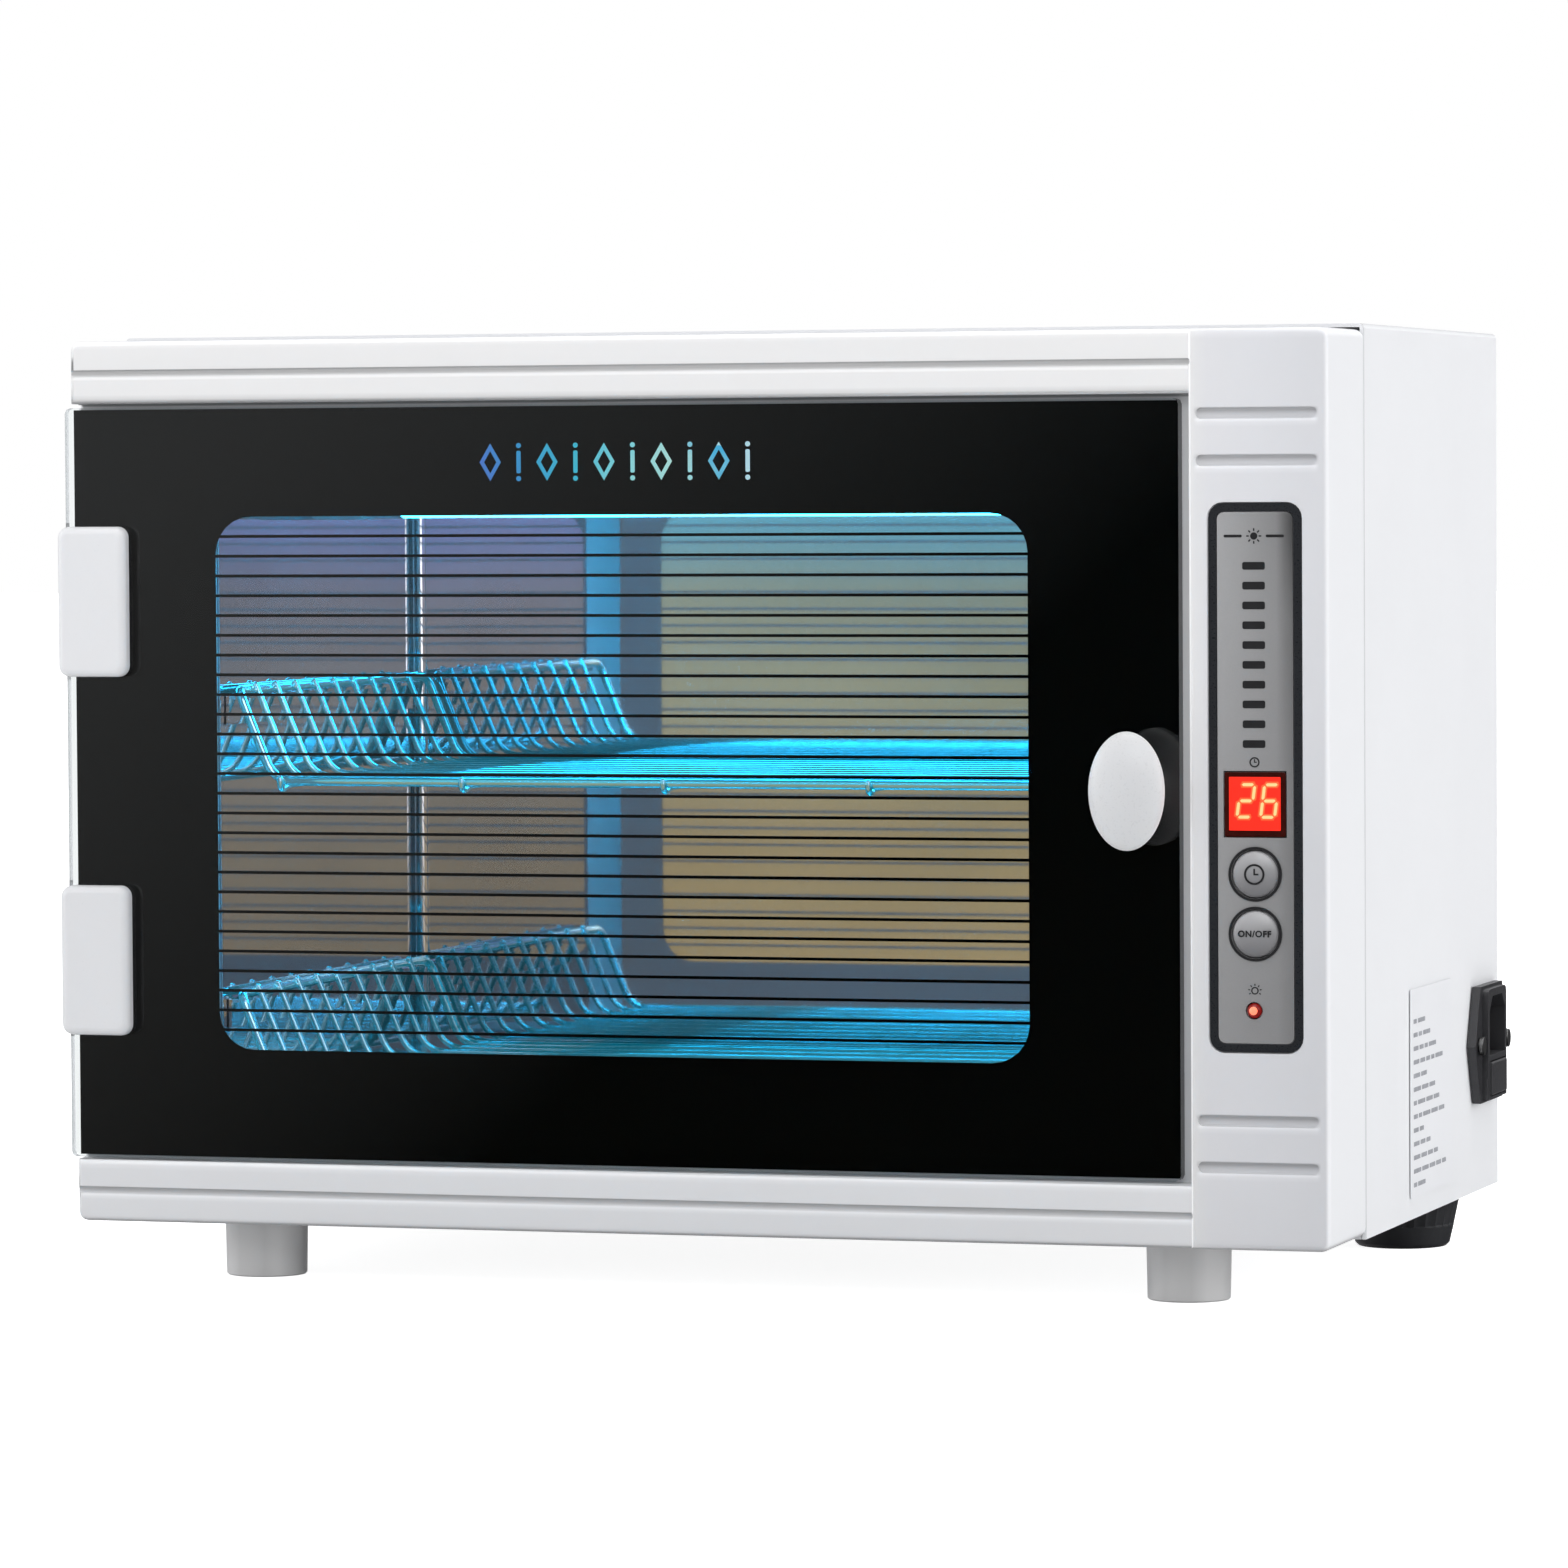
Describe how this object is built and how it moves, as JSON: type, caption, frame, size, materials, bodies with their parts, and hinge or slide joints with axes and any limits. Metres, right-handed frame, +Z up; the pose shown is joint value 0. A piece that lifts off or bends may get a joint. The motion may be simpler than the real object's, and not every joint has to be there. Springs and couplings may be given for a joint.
{
  "type": "uv sterilizer cabinet",
  "caption": "Bench-top ultraviolet sterilizing cabinet with a hinged glass door, sliding wire baskets, a side control panel with a timer display, and a rear-side mains inlet.",
  "frame": {"origin": "centre of the bounding box on the plane that the feet stand on, door shut and baskets in", "axes": "+X to the right as seen from the front, -Y towards the user, +Z up"},
  "size_m": [0.3582, 0.2296, 0.2567],
  "materials": {
    "white_plastic": "satin moulded",
    "white_powder_coat": "satin powder coat",
    "clear_glass": "polished",
    "black_print": "gloss print",
    "black_plastic": "moulded",
    "silver_grey": "satin metallic",
    "red_lens": "gloss",
    "green_board": "solder resist",
    "plated_steel": "nickel plated",
    "pin_brass": "nickel plated",
    "chrome_wire": "polished",
    "mirror_steel": "mirror polished",
    "cap_aluminium": "satin",
    "lamp_glass": "polished",
    "wire_jacket": "satin",
    "black_rubber": "moulded",
    "label_film": "satin film"
  },
  "bodies": {
    "cabinet": {"front_frame": "white_plastic", "front_foot_left": "white_plastic", "front_foot_right": "white_plastic", "lamp_holder_left": "white_plastic", "lamp_holder_right": "white_plastic", "outer_shell": "white_powder_coat", "base_plate": "white_powder_coat", "rear_cover": "white_powder_coat", "panel_border": "black_plastic", "display_module": "black_plastic", "time_switch": "black_plastic", "power_switch": "black_plastic", "door_switch": "black_plastic", "ballast": "black_plastic", "inlet_housing": "black_plastic", "control_overlay": "silver_grey", "display_lens": "red_lens", "power_led": "red_lens", "control_board": "green_board", "hinge_bracket_upper": "plated_steel", "hinge_bracket_lower": "plated_steel", "hinge_pin_upper": "plated_steel", "hinge_pin_lower": "plated_steel", "door_magnet": "plated_steel", "inlet_screw_left": "plated_steel", "inlet_screw_right": "plated_steel", "rear_screw_lower_left": "plated_steel", "rear_screw_lower_right": "plated_steel", "rear_screw_upper_left": "plated_steel", "rear_screw_upper_right": "plated_steel", "inlet_pin_line": "pin_brass", "inlet_pin_neutral": "pin_brass", "inlet_pin_earth": "pin_brass", "chamber_liner": "mirror_steel", "basket_runner_upper_left": "mirror_steel", "basket_runner_upper_right": "mirror_steel", "basket_runner_lower_left": "mirror_steel", "basket_runner_lower_right": "mirror_steel", "lamp_cap_left": "cap_aluminium", "lamp_cap_right": "cap_aluminium", "uv_lamp_tube": "lamp_glass", "mains_wire": "wire_jacket", "lamp_wire_left": "wire_jacket", "lamp_wire_right": "wire_jacket", "rear_foot_left": "black_rubber", "rear_foot_right": "black_rubber", "rating_label": "label_film"},
    "door": {"door_glass": "clear_glass", "door_print": "black_print", "hinge_clip_upper": "white_plastic", "hinge_clip_lower": "white_plastic", "door_knob": "white_plastic", "knob_screw": "plated_steel"},
    "upper_basket": {"upper_basket": "chrome_wire"},
    "lower_basket": {"lower_basket": "chrome_wire"},
    "time_button": {"time_button": "silver_grey"},
    "power_button": {"power_button": "silver_grey"},
    "fuse_drawer": {"fuse_drawer": "black_plastic", "fuse": "plated_steel"},
    "door_switch_plunger": {"door_switch_plunger": "white_plastic"}
  },
  "joints": [
    {"name": "door_hinge", "type": "hinge", "parent": "cabinet", "child": "door", "pos_m": [-0.1719, -0.0858, 0.135], "axis": [0, 0, -1], "range_deg": [0, 100]},
    {"name": "upper_basket_slide", "type": "slide", "parent": "cabinet", "child": "upper_basket", "axis": [0, -1, 0], "range_m": [0, 0.13]},
    {"name": "lower_basket_slide", "type": "slide", "parent": "cabinet", "child": "lower_basket", "axis": [0, -1, 0], "range_m": [0, 0.13]},
    {"name": "time_button_press", "type": "slide", "parent": "cabinet", "child": "time_button", "axis": [0, 1, 0], "range_m": [0, 0.0008], "stiffness_N_per_m": 800, "springref_m": -0.0008},
    {"name": "power_button_press", "type": "slide", "parent": "cabinet", "child": "power_button", "axis": [0, 1, 0], "range_m": [0, 0.0008], "stiffness_N_per_m": 800, "springref_m": -0.0008},
    {"name": "fuse_drawer_slide", "type": "slide", "parent": "cabinet", "child": "fuse_drawer", "axis": [1, 0, 0], "range_m": [0, 0.02]},
    {"name": "door_switch_slide", "type": "slide", "parent": "cabinet", "child": "door_switch_plunger", "axis": [0, -1, 0], "range_m": [0, 0.0025]}
  ],
  "couplings": [
    {"joint": "upper_basket_slide", "follows": "door_hinge", "m_per_rad": 0.074},
    {"joint": "lower_basket_slide", "follows": "door_hinge", "m_per_rad": 0.074},
    {"joint": "door_switch_slide", "follows": "door_hinge", "m_per_rad": 0.00143}
  ]
}
